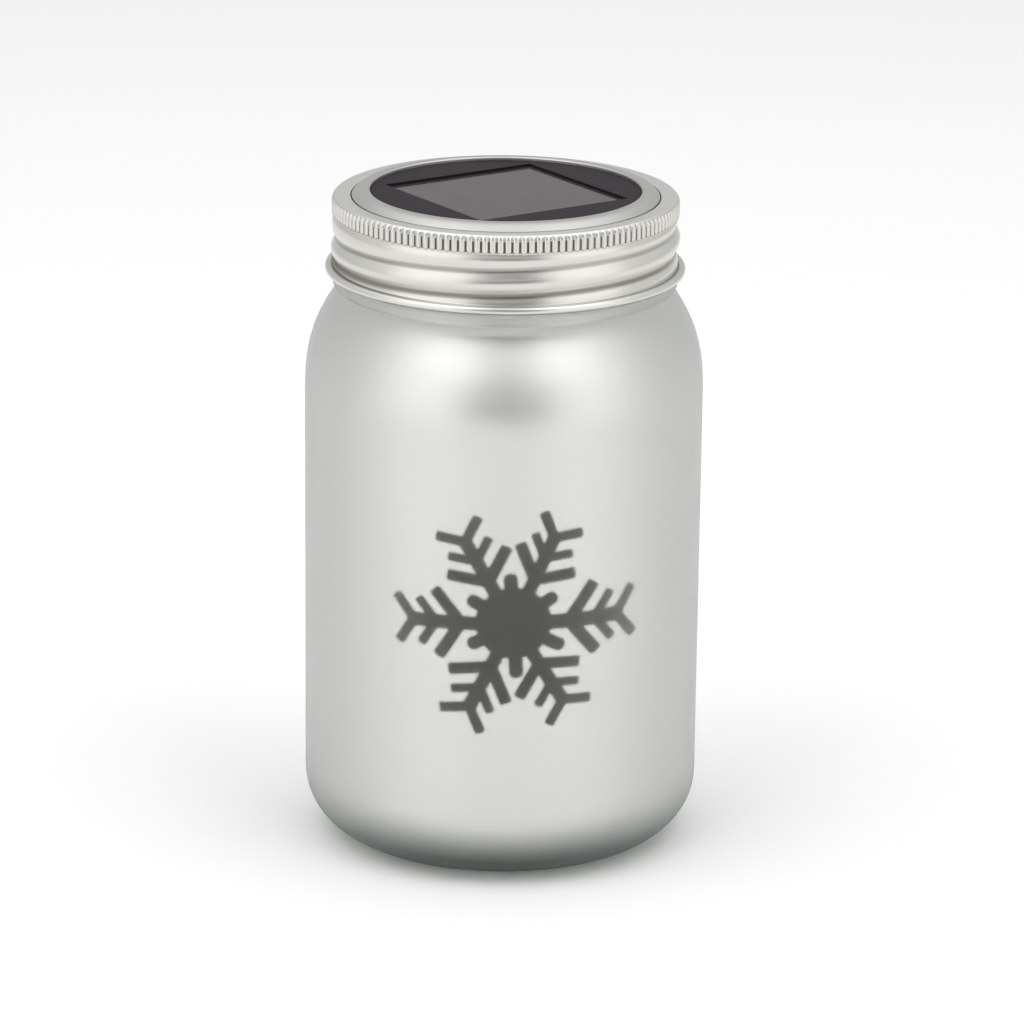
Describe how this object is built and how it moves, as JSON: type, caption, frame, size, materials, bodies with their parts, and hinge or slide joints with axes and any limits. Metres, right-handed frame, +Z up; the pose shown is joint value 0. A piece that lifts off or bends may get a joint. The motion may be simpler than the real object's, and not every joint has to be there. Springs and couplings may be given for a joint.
{
  "type": "mason jar lantern",
  "caption": "Solar lantern: frosted silver-lined glass jar with a snowflake window, closed by a knurled screw band holding a solar lamp module.",
  "frame": {"origin": "centre of the base, on the table", "axes": "+Z up through the lid; the snowflake window faces -Y"},
  "size_m": [0.1, 0.1, 0.1672],
  "materials": {
    "frosted_glass": "frosted outside, faintly green in the thick edges",
    "silver_film": "satin silvered film behind frosted glass",
    "tinplate": "bright rolled tinplate, knurled",
    "trim_metal": "satin stamped ring",
    "seal_rubber": "soft matte seal",
    "housing_plastic": "moulded black, fine grain",
    "bezel_plastic": "polished black",
    "panel_laminate": "green glass-fibre laminate",
    "silicon": "dark polycrystalline silicon with fine silver lines",
    "clear_resin": "clear domed resin",
    "lamp_epoxy": "water-clear lens",
    "chip_plastic": "moulded black",
    "inductor_lacquer": "green lacquer",
    "screw_steel": "zinc plated",
    "switch_steel": "bent sheet",
    "knob_plastic": "moulded black",
    "holder_plastic": "moulded black",
    "battery_sleeve": "plain green shrink sleeve",
    "contact_nickel": "nickel-plated spring steel",
    "red_lead": "red insulation",
    "black_lead": "black insulation"
  },
  "bodies": {
    "jar": {"glass_jar": "frosted_glass", "silver_coating": "silver_film"},
    "solar_module": {"sealing_gasket": "seal_rubber", "module_housing": "housing_plastic", "trim_ring": "trim_metal", "panel_bezel": "bezel_plastic", "panel_board": "panel_laminate", "solar_wafer": "silicon", "cell_resin": "clear_resin", "bottom_cover": "housing_plastic", "cover_screws": "screw_steel", "board_screws": "screw_steel", "circuit_board": "panel_laminate", "led_lamp": "lamp_epoxy", "driver_chip": "chip_plastic", "inductor": "inductor_lacquer", "switch_body": "switch_steel", "battery_holder": "holder_plastic", "battery": "battery_sleeve", "contact_positive": "contact_nickel", "contact_negative": "contact_nickel", "panel_lead_positive": "red_lead", "panel_lead_negative": "black_lead", "battery_lead_positive": "red_lead", "battery_lead_negative": "black_lead"},
    "band": {"screw_band": "tinplate"},
    "switch_knob": {"switch_slider": "knob_plastic"}
  },
  "joints": [
    {"name": "lid_rise", "type": "slide", "parent": "jar", "child": "solar_module", "axis": [0, 0, 1], "range_m": [0, 0.0318]},
    {"name": "band_turn", "type": "hinge", "parent": "solar_module", "child": "band", "pos_m": [0, 0, 0.155], "axis": [0, 0, 1], "range_deg": [0, 1800]},
    {"name": "switch_slide", "type": "slide", "parent": "solar_module", "child": "switch_knob", "axis": [1, 0, 0], "range_m": [0, 0.002]}
  ],
  "couplings": [
    {"joint": "lid_rise", "follows": "band_turn", "m_per_rad": 0.0010106}
  ]
}
